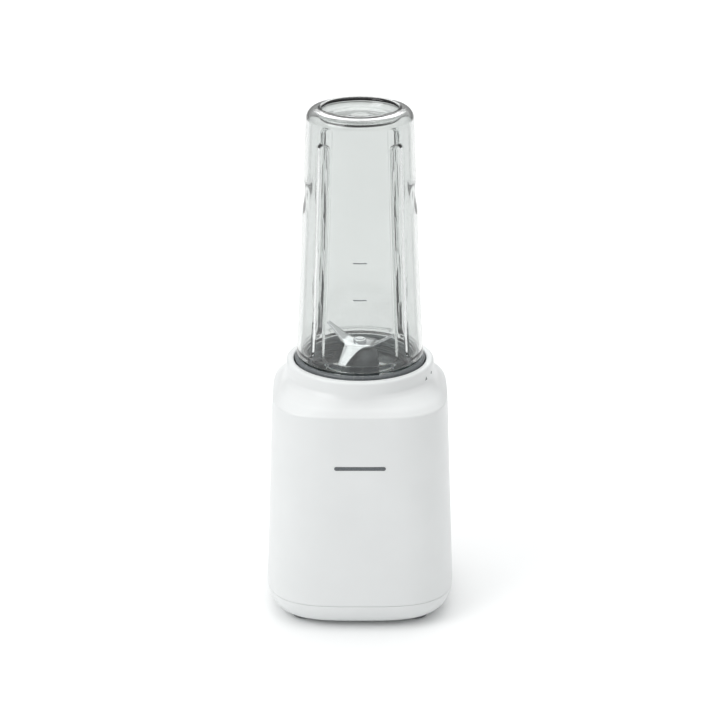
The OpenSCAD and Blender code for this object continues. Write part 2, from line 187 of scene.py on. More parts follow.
def cut(piece, tool, operation="DIFFERENCE"):
    """Cuts a tool shape out of a piece, or joins it on, and deletes the tool."""
    apply(piece, "BOOLEAN", operation=operation, object=tool, solver="EXACT")
    bpy.data.objects.remove(tool)
    return piece


def moved(piece, x, y, z=0.0):
    """Moves a piece's mesh by a distance in mm."""
    piece.data.transform(Matrix.Translation((x * MM, y * MM, z * MM)))
    return piece


def finish(piece, body, slot, material, *nodes):
    """Gives a piece its material and its body, and hides the CAD nodes it stands for. The slot is not used."""
    piece.data.materials.clear()
    piece.data.materials.append(material)
    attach(piece, body)
    if nodes:
        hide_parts(*nodes)


def surface(name, tones, drift, gloss, patch, grit, depth, strength=0.5, metallic=0, stretch=(1, 1, 1)):
    """A new material, its nodes and its shader, with sizes in mm: two hex tones that drift, a roughness that
    varies between two values in patches, and a raised grain. No tones or no depth leaves that part out."""
    made = bpy.data.materials.new(name)
    made.use_nodes = True
    tree, shader = made.node_tree, made.node_tree.nodes["Principled BSDF"]
    shader.inputs["Metallic"].default_value = metallic
    objects = put(tree, "ShaderNodeTexCoord").outputs["Object"]
    along = put(tree, "ShaderNodeMapping", Vector=objects, Scale=stretch).outputs["Vector"]
    if tones:
        clouds = put(tree, "ShaderNodeTexNoise", Vector=objects, Scale=1 / (drift * MM), Detail=3.0)
        colours = put(tree, "ShaderNodeValToRGB", i0=clouds.outputs["Fac"],
                      stops=[(0.35, linear(tones[0])), (0.65, linear(tones[1]))])
        tree.links.new(colours.outputs["Color"], shader.inputs["Base Color"])
    patches = put(tree, "ShaderNodeTexNoise", Vector=along, Scale=1 / (patch * MM), Detail=3.0)
    sheen = put(tree, "ShaderNodeMapRange", i0=patches.outputs["Fac"], i1=0.3, i2=0.7, i3=gloss[0], i4=gloss[1])
    tree.links.new(sheen.outputs["Result"], shader.inputs["Roughness"])
    if depth:
        grains = put(tree, "ShaderNodeTexNoise", Vector=along, Scale=1 / (grit * MM), Detail=2.0)
        bump = put(tree, "ShaderNodeBump", Height=grains.outputs["Fac"], Strength=strength, Distance=depth * MM)
        tree.links.new(bump.outputs["Normal"], shader.inputs["Normal"])
    return made, tree, shader


# White ABS moulded in a finely spark-eroded tool: soft sheen, and a grain too
# fine to see singly, drawn here at 0.5 mm so that it still breaks the highlight.
white_abs, _, shader = surface("white ABS, satin moulded", ("#e1e3e3", "#dee0e0"), 40, (0.30, 0.38), 6,
                               0.5, 0.004)
shader.inputs["IOR"].default_value = 1.54

PART = 18.5  # height of the joint with the base cover
CREASE = 150.4  # height of the crease under the shoulder
HALF = 62.5  # half width at the joint
HALF_TOP = 57.3  # half width at the crease
SQUARE = 3.4  # how square the plan is, 2 being round
COLUMNS = 192  # points round the plan
SHELL = 2.4  # wall thickness


def wall(z):
    """Half width of the housing at a height, in mm."""
    return HALF - (HALF - HALF_TOP) * (z - PART) / (CREASE - PART)


def choose(piece, kind, wanted):
    """Selects just the vertices, edges or faces that answer a test, and goes back to editing."""
    bpy.ops.mesh.select_all(action="DESELECT")
    mode = {"vertices": "VERT", "edges": "EDGE", "polygons": "FACE"}[kind]
    bpy.ops.mesh.select_mode(type=mode)
    bpy.ops.object.mode_set(mode="OBJECT")
    for part in getattr(piece.data, kind):
        part.select = bool(wanted(part))
    bpy.ops.object.mode_set(mode="EDIT")


def drawn_up(name, levels, n_at):
    """An open shell pulled through (half width, height) levels, then squared off by its n at each height."""
    bpy.ops.object.select_all(action="DESELECT")
    half, z = levels[0]
    bpy.ops.mesh.primitive_circle_add(vertices=COLUMNS, radius=half * MM, location=(0, 0, z * MM))
    piece = name_it(name)
    pull(levels)
    bpy.ops.object.mode_set(mode="OBJECT")
    for v in piece.data.vertices:
        n = n_at(v.co.z / MM)
        turn, r = math.atan2(v.co.y, v.co.x), math.hypot(v.co.x, v.co.y)
        v.co.x = r * math.copysign(abs(math.cos(turn)) ** (2 / n), math.cos(turn))
        v.co.y = r * math.copysign(abs(math.sin(turn)) ** (2 / n), math.sin(turn))
    bpy.ops.object.mode_set(mode="EDIT")
    return piece


def between(knots, z):
    """Smooth value at a height through (height, value) knots: a monotone cubic."""
    if z <= knots[0][0]:
        return knots[0][1]
    for i in range(len(knots) - 1):
        (z0, a), (z1, b) = knots[i], knots[i + 1]
        if z <= z1:
            span = z1 - z0
            rise = (b - a) / span
            before = (a - knots[i - 1][1]) / (z0 - knots[i - 1][0]) if i else rise
            after = (knots[i + 2][1] - b) / (knots[i + 2][0] - z1) if i + 2 < len(knots) else 0
            s0 = 2 * before * rise / (before + rise) if before * rise > 0 else 0
            s1 = 2 * after * rise / (after + rise) if after * rise > 0 else 0
            t = (z - z0) / span
            return (a * (1 + 2 * t) * (1 - t) ** 2 + s0 * span * t * (1 - t) ** 2 +
                    b * t * t * (3 - 2 * t) + s1 * span * t * t * (t - 1))
    return knots[-1][1]


COLLAR_R = 48.4
COLLAR_TOP = 170
MOUTH_R = 43.3
EDGE_R = 2  # radius of the crease and of the collar's outer edge
LIP_R = 1.2  # radius of the collar's inner edge
CLIMB = 0.6  # height of one step of the shoulder's curve
walls = [(wall(z), z) for z in (PART, PART + 0.5, 30, 50, 80, 110, 130, 143, 146.5, 147.8)]
crease = [(wall(CREASE - EDGE_R) - EDGE_R * (1 - math.cos(a)), CREASE - EDGE_R + EDGE_R * math.sin(a))
          for a in (math.radians(11 * k) for k in range(6))]
crease_half, crease_top = crease[-1]
width_knots = [(crease_top, crease_half), (152.4, 54.3), (154.6, 51.8), (156.8, 50.2), (159.3, 49.1),
               (162, 48.6), (165, COLLAR_R)]
square_knots = [(crease_top, SQUARE), (152.4, 3.3), (154.6, 3.0), (156.8, 2.6), (159.3, 2.2),
                (162, 2), (165, 2)]
shoulder = [(between(width_knots, crease_top + CLIMB * k), crease_top + CLIMB * k) for k in range(1, 25)]
collar = [(COLLAR_R, 166.2)] + curve(COLLAR_R - EDGE_R, COLLAR_TOP - EDGE_R, EDGE_R, 0, 90, 8)
lip = curve(MOUTH_R + LIP_R, COLLAR_TOP - LIP_R, LIP_R, 90, 180, 6) + [(MOUTH_R, 166.2)]
housing = drawn_up("main_housing_shell", walls + crease + shoulder + collar + lip,
                   lambda z: between(square_knots, z))
close_up(housing, 60)
apply(housing, "SOLIDIFY", thickness=SHELL * MM, offset=-1, use_even_offset=True)
apply(housing, "BEVEL", width=0.35 * MM, segments=2, limit_method="ANGLE", angle_limit=math.radians(60))
bpy.ops.object.shade_smooth_by_angle(angle=math.radians(50))
INLET_Z = 30
INLET_R = 7
bpy.ops.object.select_all(action="DESELECT")
bpy.ops.mesh.primitive_cylinder_add(vertices=64, radius=INLET_R * MM, depth=16 * MM,
                                    rotation=(math.radians(90), 0, 0), location=(0, HALF * MM, INLET_Z * MM))
cut(housing, bpy.context.object)

# Four posts take the base screws, and four short ones the screws of the coupling well.
SCREW_AT = 37
WELL_SCREW_AT = 50
CORNERS = [(x, y) for x in (-SCREW_AT, SCREW_AT) for y in (-SCREW_AT, SCREW_AT)]


def tube(name, inner, outer, low, high):
    """A plain tube between two radii and two heights."""
    return turned(name, [(inner, low), (outer, low), (outer, high), (inner, high), (inner, low)], 24)


for x, y in CORNERS:
    cut(housing, moved(tube("screw_post", 2.1, 4.4, 21, 155), x, y), "UNION")
for x, y in ((1, 0), (0, 1), (-1, 0), (0, -1)):
    post = tube("well_post", 1.6, 3.2, 141, 152.4)
    cut(housing, moved(post, WELL_SCREW_AT * x, WELL_SCREW_AT * y), "UNION")
finish(housing, "base", "white_abs", white_abs, "main_housing")

# ---------------------------------------------------------------------------
# Base cover: the tray that closes the housing from below, moulded in the same
# white ABS. Its wall rolls in to the floor, which has slots for cooling air.
# ---------------------------------------------------------------------------

FLOOR = 2.5  # height of the cover's underside
ROLL = 13.5  # how far the wall rolls in
COVER_TOP = PART - 0.3
roll = [(HALF - ROLL * (1 - math.cos(a)), COVER_TOP - (COVER_TOP - FLOOR) * math.sin(a))
        for a in (math.radians(7.5 * k) for k in range(13))]
cover = drawn_up("base_cover_shell", roll + [(HALF - ROLL - 4, FLOOR), (20, FLOOR)], lambda z: SQUARE)
bpy.ops.mesh.edge_face_add()
close_up(cover, 40)
apply(cover, "SOLIDIFY", thickness=SHELL * MM, offset=-1, use_even_offset=True)


def block(name, size, at):
    """A plain block of a size in mm with its middle at a place in mm."""
    bpy.ops.object.select_all(action="DESELECT")
    bpy.ops.mesh.primitive_cube_add(size=1, scale=[c * MM for c in size], location=[c * MM for c in at])
    return name_it(name)


def upright(mesh, edge):
    """Whether an edge of a mesh stands up."""
    low, high = (mesh.vertices[i].co.z for i in edge.vertices)
    return abs(low - high) > 5 * MM


AIR_SLOTS = 9
SLOT_STEP = 5
slots = block("air_slots", (2.2, 32, 10), (-20, 0, FLOOR))
choose(slots, "edges", lambda edge: upright(slots.data, edge))
bpy.ops.mesh.bevel(offset=1.0 * MM, segments=4)
bpy.ops.object.mode_set(mode="OBJECT")
apply(slots, "ARRAY", count=AIR_SLOTS, use_relative_offset=False, use_constant_offset=True,
      constant_offset_displace=(SLOT_STEP * MM, 0, 0))
cut(cover, slots)

# Four posts with sunk wells for the screws, and two slotted guides that hold the board.
for x, y in CORNERS:
    cut(cover, moved(turned("well", [(6, 1), (6, 6)], 48), x, y))
    post = turned("post", [(5.2, 3), (7, 3), (7, 20.6), (2.3, 20.6), (2.3, 9), (5.2, 9), (5.2, 3)], 48)
    cut(cover, moved(post, x, y), "UNION")
for side in (-1, 1):
    guide = block("guide", (4, 9, 20), (side * 25, 46.5, 13.5))
    bpy.ops.object.mode_set(mode="OBJECT")
    slot = block("slot", (3, 2, 30), (side * 24.1, 46.7, 23))
    bpy.ops.object.mode_set(mode="OBJECT")
    cut(cover, cut(guide, slot), "UNION")
apply(cover, "BEVEL", width=0.3 * MM, segments=2, limit_method="ANGLE", angle_limit=math.radians(55))
bpy.ops.object.shade_smooth_by_angle(angle=math.radians(50))
finish(cover, "base", "white_abs", white_abs, "base_cover")

# ---------------------------------------------------------------------------
# Feet: four soft grey rubber buttons moulded in TPE and pushed into the wells of
# the base cover. Each has a rounded edge and a shallow suction dish underneath.
# ---------------------------------------------------------------------------

# Moulded thermoplastic rubber: matt, slightly dusty, with a sandy grain.
foot_rubber = surface("grey TPE rubber, moulded", ("#77797b", "#6a6c6e"), 3, (0.62, 0.8), 2, 0.4, 0.02)[0]


def twin(piece, name):
    """A copy of a piece with its own mesh."""
    made = piece.copy()
    made.data = piece.data.copy()
    made.name = made.data.name = name
    bpy.context.collection.objects.link(made)
    return made


DISH = [(2, 0.9), (3.6, 0.75), (5.2, 0.3), (6.2, 0)]
STEM = [(8, 2.0), (7.7, FLOOR - 0.02), (5, FLOOR - 0.02), (5, 4.8), (2, 4.8)]
pattern = turned("foot_pattern", DISH + curve(6.9, 1.1, 1.1, 270, 360, 5) + STEM, 64)
for depth, y in (("front", -SCREW_AT), ("rear", SCREW_AT)):
    for side, x in (("left", -SCREW_AT), ("right", SCREW_AT)):
        foot = moved(twin(pattern, f"{depth}_{side}_foot"), x, y)
        finish(foot, "base", "foot_rubber", foot_rubber, f"foot_{depth}_{side}")
bpy.data.objects.remove(pattern)

# ---------------------------------------------------------------------------
# Cord inlet: a black rubber sleeve low on the back wall that a mains lead
# passes through. A flange holds it from inside and its mouth is rounded.
# ---------------------------------------------------------------------------

# Black EPDM: low sheen with a fine dusty grain.
black_rubber = surface("black EPDM rubber, moulded", ("#2b2c2e", "#232426"), 2, (0.5, 0.66), 2, 0.4, 0.012)[0]

CORD_R = 3.6
sleeve = [(CORD_R, 50), (6, 50), (6, 55.8), (9.5, 55.8), (9.5, 58.4), (6.8, 58.4), (6.8, 60.6)]
mouth = curve(6.2, 60.8, 0.6, 0, 90, 4) + curve(CORD_R + 0.8, 60.6, 0.8, 90, 180, 4)
gland = turned("cord_inlet_sleeve", sleeve + mouth + [(CORD_R, 50)], 64)
bpy.ops.object.select_all(action="DESELECT")
gland.select_set(True)
gland.rotation_euler = (math.radians(-90), 0, 0)
gland.location = (0, 0, INLET_Z * MM)
bpy.ops.object.transform_apply(location=True, rotation=True)
finish(gland, "base", "black_rubber", black_rubber, "cord_gland")

# ---------------------------------------------------------------------------
# Printed marks: a plain bar pad-printed in grey on the front, and a small
# arrow and dot on the collar that show where the bottle is placed and locked.
# ---------------------------------------------------------------------------

# Pad-printing ink: a thin film of flat grey with slightly uneven cover.
ink = surface("grey pad-printing ink", ("#63676a", "#575b5e"), 1.2, (0.4, 0.55), 1, 0.4, 0.002)[0]

INK = 0.04  # thickness of the film
PROUD = 0.01  # how far a print's back stands off its surface
BAR_LONG = 33
BAR_TALL = 2.6
MARK_Z = 115.2
LEAN = math.degrees(math.atan((HALF - HALF_TOP) / (CREASE - PART)))


def stamp(name, draw, stand, turn, spot):
    """A thin printed shape on a surface: drawn flat, stood up, turned about Z and put on its spot in mm."""
    bpy.ops.object.select_all(action="DESELECT")
    draw()
    made = name_it(name)
    bpy.ops.mesh.extrude_region_move(TRANSFORM_OT_translate={"value": (0, 0, INK * MM)})
    bpy.ops.mesh.select_all(action="SELECT")
    bpy.ops.mesh.normals_make_consistent(inside=False)
    bpy.ops.object.mode_set(mode="OBJECT")
    made.rotation_euler = (math.radians(stand), 0, math.radians(turn))
    made.location = [c * MM for c in spot]
    bpy.ops.object.transform_apply(location=True, rotation=True)
    finish(made, "base", "white_abs", ink)


def pill():
    """A flat bar with round ends."""
    bpy.ops.mesh.primitive_plane_add(size=1)
    bpy.ops.transform.resize(value=(BAR_LONG * MM, BAR_TALL * MM, 1))
    bpy.ops.object.transform_apply(scale=True)
    bpy.ops.object.mode_set(mode="EDIT")
    bpy.ops.mesh.select_all(action="SELECT")
    bpy.ops.mesh.bevel(offset=(BAR_TALL / 2 - 0.01) * MM, segments=8, affect="VERTICES")
    bpy.ops.object.mode_set(mode="OBJECT")


stamp("front_bar_mark", pill, 90 - LEAN, 0, (0, -wall(MARK_Z) + PROUD, MARK_Z))
for name, corners, r, at, z in (("place_arrow", 3, 1.8, -28, 162.8), ("lock_dot", 24, 1.1, -17, 164)):
    a = math.radians(at)
    out = between(width_knots, z) + PROUD
    spot = (out * math.cos(a), out * math.sin(a), z)
    stamp(name, lambda: bpy.ops.mesh.primitive_circle_add(vertices=corners, radius=r * MM, fill_type="NGON"),
          90, at + 90, spot)

# ---------------------------------------------------------------------------
# Cutter base: the grey screw cap that carries the blade. Turned shape moulded
# in filled polypropylene, with a thick rolled rim, a screw thread inside its
# wall, lugs outside that lock into the motor base, and a tall hollow boss.
# ---------------------------------------------------------------------------

# Glass-filled polypropylene: mid grey, satin, with a fine mould grain.
grey_pp = surface("grey filled polypropylene, moulded", ("#696d6f", "#606466"), 12, (0.2, 0.3), 3,
                  0.45, 0.003)[0]

PITCH = 4.5
LEAD = 3 * PITCH
RIM_R = 42.6
WALL_IN = 39
LUGS = (0, 120, 240)


def bent_block(name, r0, r1, z0, z1, start, sweep, steps=12):
    """A block bent round the upright axis, between two radii and two heights."""
    bpy.ops.object.select_all(action="DESELECT")
    bpy.ops.mesh.primitive_plane_add(size=1, rotation=(math.radians(90), 0, 0))
    bpy.context.object.scale = ((r1 - r0) * MM, (z1 - z0) * MM, 1)
    bpy.context.object.location = ((r0 + r1) / 2 * MM, 0, (z0 + z1) / 2 * MM)
    piece = name_it(name)
    bpy.ops.mesh.spin(steps=steps, angle=math.radians(sweep), center=(0, 0, 0), axis=(0, 0, 1))
    close_up(piece)
    lowest = min(math.degrees(math.atan2(v.co.y, v.co.x)) for v in piece.data.vertices)
    piece.rotation_euler = (0, 0, math.radians(start - lowest))
    bpy.ops.object.transform_apply(rotation=True)
    return piece


def ridge(name, root, crest, z0, z1, start):
    """One start of a screw thread: a trapezium carried up a helix."""
    bpy.ops.object.select_all(action="DESELECT")
    bpy.ops.mesh.primitive_plane_add(size=1, rotation=(math.radians(90), 0, 0))
    bpy.context.object.scale = (abs(crest - root) * MM, 2 * MM, 1)
    bpy.context.object.location = ((root + crest) / 2 * MM, 0, z0 * MM)
    piece = name_it(name)
    choose(piece, "vertices", lambda v: abs(v.co.x - crest * MM) < 0.00005)
    bpy.ops.transform.resize(value=(1, 1, 0.4))
    bpy.ops.object.mode_set(mode="OBJECT")
    turns = (z1 - z0) / LEAD
    apply(piece, "SCREW", angle=math.tau * turns, screw_offset=(z1 - z0) * MM, steps=int(72 * turns) + 1)
    bpy.ops.object.mode_set(mode="EDIT")
    bpy.ops.mesh.select_all(action="SELECT")
    bpy.ops.mesh.remove_doubles(threshold=0.000005)
    bpy.ops.mesh.fill_holes(sides=8)
    close_up(piece)
    piece.rotation_euler = (0, 0, math.radians(start))
    bpy.ops.object.transform_apply(rotation=True)
    return piece


# Out under the floor, down the skirt and up outside it, over the rim, down inside, up the boss, down its bore.
skirt = [(5.5, 144.3), (5.8, 144), (12.6, 144), (13, 144.4), (13, 147.4), (13.6, 148), (37.4, 148),
         (38.2, 147.2), (38.2, 135.9), (38.6, 135.5), (40.1, 135.5), (40.5, 135.9)]
wall_up = [(40.5, 158.2), (40.8, 159), (42.2, 160.4), (RIM_R, 161.2), (RIM_R, 169.4)]
rim = curve(RIM_R - 1.8, 170, 1.8, 0, 180, 14)
wall_down = [(WALL_IN, 168.8), (WALL_IN, 152.4)] + curve(WALL_IN - 1.4, 152.4, 1.4, 0, -90, 5)
boss = [(14.2, 151)] + curve(14, 152.5, 1.5, 270, 180, 5) + [
    (12.5, 169.8), (12.3, 171.4), (11.6, 172.9), (9.4, 177.3), (8.9, 178), (8.2, 178.3), (6.5, 178.3),
    (6.1, 178), (6.1, 172), (5.5, 171.9), (5.5, 144.3)]
cutter_base = turned("cutter_base_cap", skirt + wall_up + rim + wall_down + boss, 160)
for n in LUGS:
    cut(cutter_base, bent_block("lug", 40, 42.8, 150, 153, n - 15, 30), "UNION")
    cut(cutter_base, bent_block("key", 40, 42.3, 136.2, 140, n - 5, 10), "UNION")
    cut(cutter_base, ridge("ridge", WALL_IN + 0.3, WALL_IN - 1.2, 158.4, 169, n), "UNION")
apply(cutter_base, "BEVEL", width=0.22 * MM, segments=2, limit_method="ANGLE", angle_limit=math.radians(40))
bpy.ops.object.shade_smooth_by_angle(angle=math.radians(45))
finish(cutter_base, "cutter_unit", "grey_pp", grey_pp, "cutter_base")

# ---------------------------------------------------------------------------
# Bottle: one injection moulding in clear copolyester that stands mouth down.
# Four panels are set back into the wall from inside, which leaves four upright
# ribs; its base, now on top, has a standing ring round a shallow dish.
# ---------------------------------------------------------------------------

# Clear copolyester: water-clear with a faint grey cast, polished tool marks too
# slight to feel, and light wipe scuffs that vary the gloss.
clear, tree, shader = surface("clear copolyester, injection moulded", ("#e6e8e7", "#e3e5e4"), 60, (0.0, 0.035),
                              9, 14, 0.01, 0.2)
shader.inputs["Transmission Weight"].default_value = 1
shader.inputs["IOR"].default_value = 1.5
lets_light = put(tree, "ShaderNodeBsdfTransparent", Color=linear("#f4f6f6"))
is_shadow = put(tree, "ShaderNodeLightPath").outputs["Is Shadow Ray"]
blend = put(tree, "ShaderNodeMixShader", i0=is_shadow, i1=shader.outputs["BSDF"], i2=lets_light.outputs["BSDF"])
tree.links.new(blend.outputs["Shader"], tree.nodes["Material Output"].inputs["Surface"])

BOTTLE_TOP = 337.4
END_ROUND = 8  # radius of the round between the body and the end
BODY_LOW = 175
BODY_TALL = 154.4
LOW_R = 41.5  # the body's outer radius at its wide lower end
HIGH_R = 34.2  # the same at its narrow upper end
RING_R = HIGH_R - END_ROUND
THICK = 2.2  # wall thickness in a panel
RIB_DEEP = 4.0
RIB_HALF = 3.2  # half the width of a rib
RIB_END = 318
LEDGE = 176.5  # height of the panels' lower edge
WINDOW_ROUND = 5.0  # radius of the panels' corners
WINDOW_SOFT = 1.1  # width of the soft step at their edges
MOUTH = 153.3
NECK_R = 37.2
NECK_IN = 35


def bottle_wall(z):
    """Outer radius of the bottle's body at a height, in mm."""
    return LOW_R - (LOW_R - HIGH_R) * (max(z - BODY_LOW, 0) / BODY_TALL) ** 0.85


def spread(end, first, growth):
    """Distances from 0 to an end whose steps start small and grow."""
    found, step = [0.0], first
    while found[-1] + step * 1.5 < end:
        found.append(found[-1] + step)
        step *= growth
    return found + [end]


def set_columns(piece, angles):
    """Moves the points of a new circle to the given angles, so they crowd where the shape changes."""
    bpy.ops.object.mode_set(mode="OBJECT")
    for v, a in zip(piece.data.vertices, angles):
        r = math.hypot(v.co.x, v.co.y)
        v.co.x = r * math.cos(math.radians(a))
        v.co.y = r * math.sin(math.radians(a))
    bpy.ops.object.mode_set(mode="EDIT")
    bpy.ops.mesh.select_all(action="SELECT")


# Columns reach 45 degrees either side of each rib, and crowd at its edges.
RIB_EDGE = 4.9
on_rib = [RIB_EDGE - d for d in reversed(spread(RIB_EDGE, 0.35, 1.4))]
beside = [RIB_EDGE + d for d in spread(45 - RIB_EDGE, 0.35, 1.13)][1:]
columns = sorted({round(rib + sign * d, 4) % 360 for rib in (45, 135, 225, 315)
                  for d in on_rib + beside for sign in (-1, 1)})


def skin(name, outline):
    """An open turned skin on the crowded columns, capped flat at its last ring."""
    bpy.ops.object.select_all(action="DESELECT")
    r, z = outline[0]
    bpy.ops.mesh.primitive_circle_add(vertices=len(columns), radius=r * MM, location=(0, 0, z * MM))
    piece = name_it(name)
    set_columns(piece, columns)
    pull(outline)
    bpy.ops.mesh.edge_face_add()
    bpy.ops.object.mode_set(mode="OBJECT")
    return piece


# Levels crowd at the ledge, at the ribs' round ends and at the rounded end of the bottle.
DENSE = RIB_END - 12
heights = [LEDGE + d for d in spread(60, 0.3, 1.16)]
heights += [DENSE - d for d in spread(DENSE - heights[-1] - 1, 1.2, 1.1)][::-1]
heights += [DENSE + 0.5 * k for k in range(1, 28)]
neck = [(NECK_R - 0.5, MOUTH), (NECK_R, MOUTH + 0.5), (NECK_R, 172.6), (NECK_R + 0.4, 173.2), (40.2, 173.5)]
foot = curve(40.3, 174.7, 1.2, 270, 345, 6)
body = [(bottle_wall(z), z) for z in heights[1:] + [321.5, 324, 326.5]]
end = curve(RING_R, BOTTLE_TOP - END_ROUND, END_ROUND, 0, 90, 14)
dish = curve(RING_R - 0.4, BOTTLE_TOP - 1.8, 1.8, 100, 170, 5) + [
    (23.6, 333.6), (22.6, 332.4), (21.2, 331.8), (18, 331.6), (7.2, 331.5), (6.6, 331.5), (6.2, 331.9), (5.6, 332)]
outside = skin("clear_bottle", neck + foot + body + end + dish)

neck = [(NECK_R - 0.5, MOUTH), (NECK_IN + 0.4, MOUTH), (NECK_IN, MOUTH + 0.6), (NECK_IN, 170)]
body = [(bottle_wall(z) - THICK - RIB_DEEP, z) for z in heights]
body += [(bottle_wall(z) - THICK, z) for z in (321, 323.5, 326)]
end = curve(RING_R, 328.9, 5.85, 0, 88, 12)
dish = [(25.95, 334.2), (25.7, 332.6), (24.9, 330.9), (23.3, 329.9), (21.4, 329.45), (18, 329.3), (6, 329.2)]
inside = skin("bottle_inner_skin", neck + body + end + dish)


def smooth_step(t):
    """0 below 0, 1 above 1 and a smooth rise between them."""
    t = min(max(t, 0), 1)
    return t * t * (3 - 2 * t)


def set_back(x, y, z):
    """How far the inner wall is set back, 0 on a rib and 1 in a panel, with rounded corners."""
    off = (math.degrees(math.atan2(y, x)) + 45) % 90
    sideways = math.radians(min(off, 90 - off)) * math.hypot(x, y)
    beside_rib = math.hypot(sideways, max(z - RIB_END + RIB_HALF, 0)) - RIB_HALF
    above_ledge = z - LEDGE
    corner = math.hypot(max(WINDOW_ROUND - beside_rib, 0), max(WINDOW_ROUND - above_ledge, 0))
    return smooth_step((WINDOW_ROUND - corner + 0.15) / WINDOW_SOFT)


def push(v, distance):
    """Moves a point of a mesh away from the upright axis by a distance in mm."""
    r = math.hypot(v.co.x, v.co.y) / MM
    v.co.x *= (r + distance) / r
    v.co.y *= (r + distance) / r


for v in inside.data.vertices:
    x, y, z = (c / MM for c in v.co)
    if LEDGE - 1 < z < 319.9:
        push(v, RIB_DEEP * set_back(x, y, z))

# Two shallow finger grips, one on each side, fade out 30 degrees from the side's middle.
GRIP_Z = 282
GRIP_HALF = 7
GRIP_DEEP = 1.0
for v in outside.data.vertices:
    x, y, z = (c / MM for c in v.co)
    if 262 < z < 300:
        around = math.degrees(math.atan2(abs(y), abs(x)))
        along = math.exp(-(((z - GRIP_Z) / GRIP_HALF) ** 4))
        push(v, -GRIP_DEEP * along * smooth_step((30 - around) / 18))

bpy.ops.object.select_all(action="DESELECT")
inside.select_set(True)
outside.select_set(True)
bpy.context.view_layer.objects.active = outside
bpy.ops.object.join()
bottle = bpy.context.object
bpy.ops.object.mode_set(mode="EDIT")
close_up(bottle, 50)
for n in LUGS:
    cut(bottle, ridge("ridge", NECK_R - 0.3, NECK_R + 1.2, 158.4 + PITCH / 2, 169, n), "UNION")
bpy.ops.object.select_all(action="DESELECT")
bottle.select_set(True)
bpy.ops.object.shade_smooth_by_angle(angle=math.radians(50))
finish(bottle, "bottle", "clear_copolyester", clear, "bottle")

# ---------------------------------------------------------------------------
# Level marks: two short lines printed in grey on the front of the bottle, one
# 24 mm above the other, each bent to follow the wall.
# ---------------------------------------------------------------------------

MARK_LONG = 8.6
MARK_HALF = 0.3
for name, z in (("upper_level_mark", 246), ("lower_level_mark", 222)):
    arc = math.degrees(MARK_LONG / bottle_wall(z))
    back = bottle_wall(z) + PROUD
    line = bent_block(name, back, back + INK, z - MARK_HALF, z + MARK_HALF, -90 - arc / 2, arc, 10)
    finish(line, "bottle", "clear_copolyester", ink)

# ---------------------------------------------------------------------------
# Blade: one stainless plate pressed into a cross. Two arms bend up and two
# down, each with a straight leading edge and a hollowed, ground trailing edge.
# ---------------------------------------------------------------------------

# Ground stainless steel: bright, with fine grinding lines 0.3 mm apart.
blade_steel = surface("stainless steel, ground and polished", ("#eceeef", "#e2e4e6"), 5, (0.14, 0.24), 2,
                      0.3, 0.0008, 0.4, 1, (1, 0.08, 1))[0]

BLADE_TURN = -23.5
BLADE_Z = 179.3  # height of the plate's underside
BLADE_T = 1.5
BLADE_R = 24.5
HUB = 7.5  # half width of the square middle
STEPS = 8  # steps along an arm
BEND_STEPS = 3  # how many of them the bend takes
# Each arm: its direction and its bend in degrees, and where its trailing edge ends.
ARMS = ((0, 33, 3), (90, -33, 5), (180, 33, 3), (270, -33, 5))

bpy.ops.object.select_all(action="DESELECT")
bpy.ops.mesh.primitive_plane_add(size=2 * HUB * MM, location=(0, 0, (BLADE_Z + BLADE_T) * MM))
blade = name_it("cutting_blade")
bpy.ops.mesh.subdivide(number_cuts=3)
for at, bend, tip in ARMS:
    a = math.radians(at)
    out = Vector((math.cos(a), math.sin(a), 0))
    across = Vector((-math.sin(a), math.cos(a), 0))
    choose(blade, "edges", lambda e: all(
        blade.data.vertices[i].co.dot(out) > (HUB - 0.1) * MM and
        blade.data.vertices[i].co.z > (BLADE_Z + BLADE_T - 0.1) * MM for i in e.vertices))
    low, high = -HUB, HUB
    far, up = HUB, 0.0
    step = (BLADE_R - HUB) / STEPS
    for k in range(1, STEPS + 1):
        u = k / STEPS
        rise = step * math.tan(math.radians(bend) * min(1, k / BEND_STEPS))
        move = out * step + Vector((0, 0, rise))
        bpy.ops.mesh.extrude_edges_move(TRANSFORM_OT_translate={"value": move * MM})
        far += step
        up += rise
        # The leading edge runs straight in to the tip, and the trailing edge is hollowed.
        new_low, new_high = -7.2 + 2.2 * u, -5 + tip + (12.2 - tip) * (1 - u) ** 1.6
        middle, new_middle = (low + high) / 2, (new_low + new_high) / 2
        factor = (new_high - new_low) / (high - low)
        centre = out * far + across * middle + Vector((0, 0, BLADE_Z + BLADE_T + up))
        bpy.ops.transform.resize(value=[1 + (factor - 1) * abs(c) for c in across], center_override=centre * MM)
        bpy.ops.transform.translate(value=across * (new_middle - middle) * MM)
        low, high = new_low, new_high
close_up(blade, 40)
normal_up = sum(p.normal.z for p in blade.data.polygons)
apply(blade, "SOLIDIFY", thickness=BLADE_T * MM, offset=-1 if normal_up > 0 else 1, use_even_offset=True)
apply(blade, "BEVEL", width=0.25 * MM, segments=2, limit_method="ANGLE", angle_limit=math.radians(50))
blade.rotation_euler = (0, 0, math.radians(BLADE_TURN))
bpy.ops.object.select_all(action="DESELECT")
blade.select_set(True)
bpy.context.view_layer.objects.active = blade
bpy.ops.object.transform_apply(rotation=True)
bpy.ops.object.shade_smooth_by_angle(angle=math.radians(40))
finish(blade, "blade_unit", "blade_steel", blade_steel, "blade")

nut = turned("blade_nut_head", [(3.02, 180.85), (4.1, 180.85), (4.3, 181.05), (4.3, 182)] +
             curve(3.7, 182.2, 0.6, 0, 80, 5) + [(2.2, 182.75), (1.9, 182.55), (1.2, 182.5)], 64)
finish(nut, "blade_unit", "blade_steel", blade_steel, "blade_nut")

